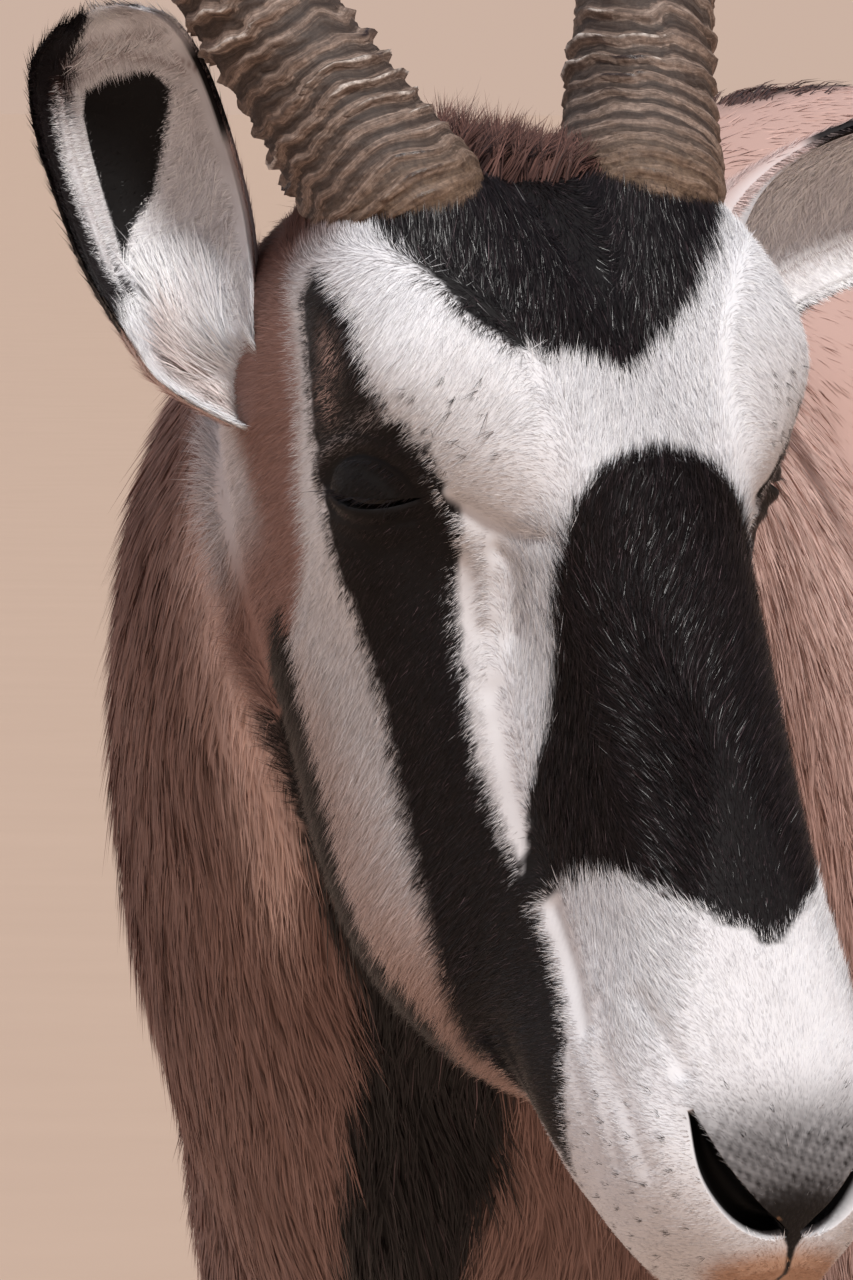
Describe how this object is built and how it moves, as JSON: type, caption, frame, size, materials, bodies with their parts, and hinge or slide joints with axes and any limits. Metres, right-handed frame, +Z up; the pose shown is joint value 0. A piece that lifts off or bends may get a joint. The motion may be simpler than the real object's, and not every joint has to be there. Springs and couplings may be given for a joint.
{
  "type": "gemsbok",
  "caption": "Standing gemsbok, life size and still: head lowered and turned left, long ringed horns, black and white face, fawn coat, tufted tail, cloven hooves.",
  "frame": {"origin": "on the floor, under the middle of the whole animal", "axes": "+Z up, the body faces -Y, and the animal's left side is towards +X"},
  "size_m": [0.6526, 1.701, 1.8959],
  "materials": {
    "face_coat": "very short, flat, matt hair, white with black patches",
    "fawn_coat": "short matt hair, reddish fawn",
    "white_coat": "short matt hair, white with black patches",
    "black_hair": "long, soft, brown-black hair",
    "ear_coat": "short pale hair with a black rim",
    "horn": "dry, fibrous, ringed horn, grey-brown, dark towards the tip",
    "hoof": "worn dark horn",
    "eye": "wet, dark brown"
  },
  "bodies": {
    "root": {"head": "face_coat", "neck": "fawn_coat", "fore_left_leg": "white_coat", "fore_right_leg": "white_coat", "hind_left_leg": "white_coat", "hind_right_leg": "white_coat", "tail": "black_hair", "torso": "fawn_coat", "eye_left": "eye", "horn_left": "horn", "ear_left": "ear_coat", "eye_right": "eye", "horn_right": "horn", "ear_right": "ear_coat", "hoof_fore_left_outer": "hoof", "hoof_fore_left_inner": "hoof", "hoof_fore_right_outer": "hoof", "hoof_fore_right_inner": "hoof", "hoof_hind_left_outer": "hoof", "hoof_hind_left_inner": "hoof", "hoof_hind_right_outer": "hoof", "hoof_hind_right_inner": "hoof"}
  },
  "joints": []
}
